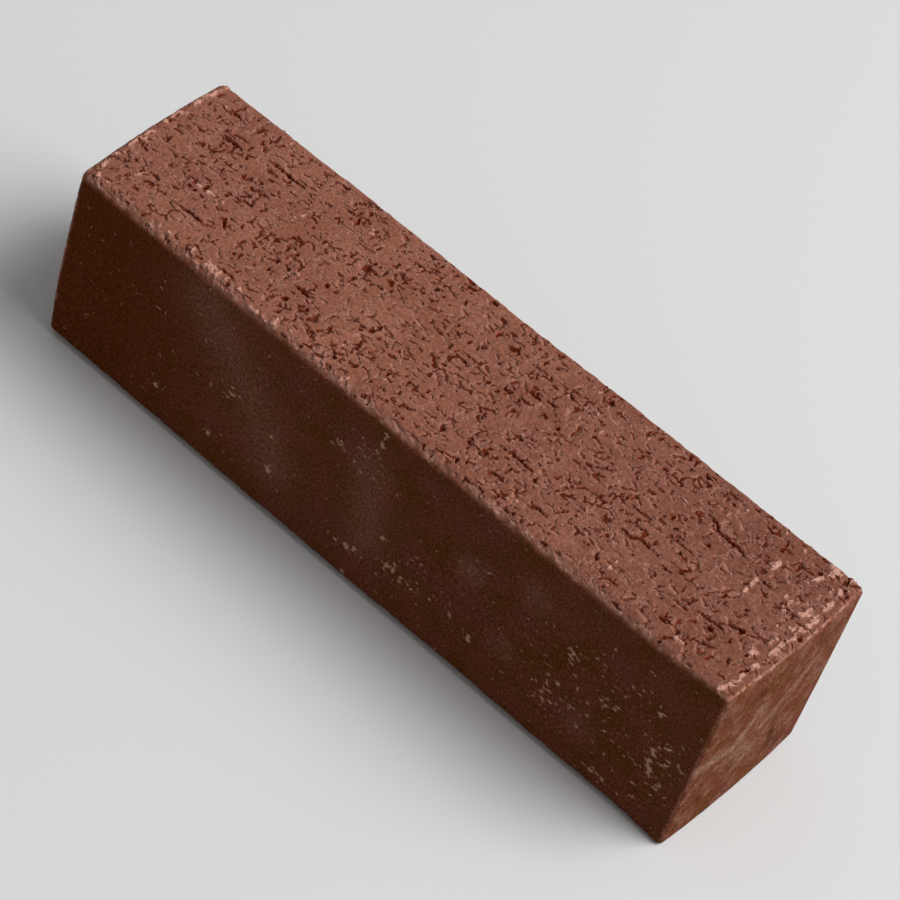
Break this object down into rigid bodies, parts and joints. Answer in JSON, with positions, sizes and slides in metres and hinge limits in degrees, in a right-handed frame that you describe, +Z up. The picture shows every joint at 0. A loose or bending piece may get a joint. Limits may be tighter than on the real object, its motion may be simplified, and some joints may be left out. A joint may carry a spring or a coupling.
{
  "type": "clay paver",
  "caption": "Narrow solid block of red fired clay with a torn wire-cut top, smooth die-formed sides and rounded corners, laid as paving.",
  "frame": {"origin": "middle of the lower cut face, on the surface that the paver lies on", "axes": "+X along the length, +Y across the width towards the side away from the viewer, +Z up along the extruded column"},
  "size_m": [0.2, 0.052, 0.052],
  "materials": {
    "fired_clay": "matte"
  },
  "bodies": {
    "root": {"paver_body": "fired_clay"}
  },
  "joints": []
}
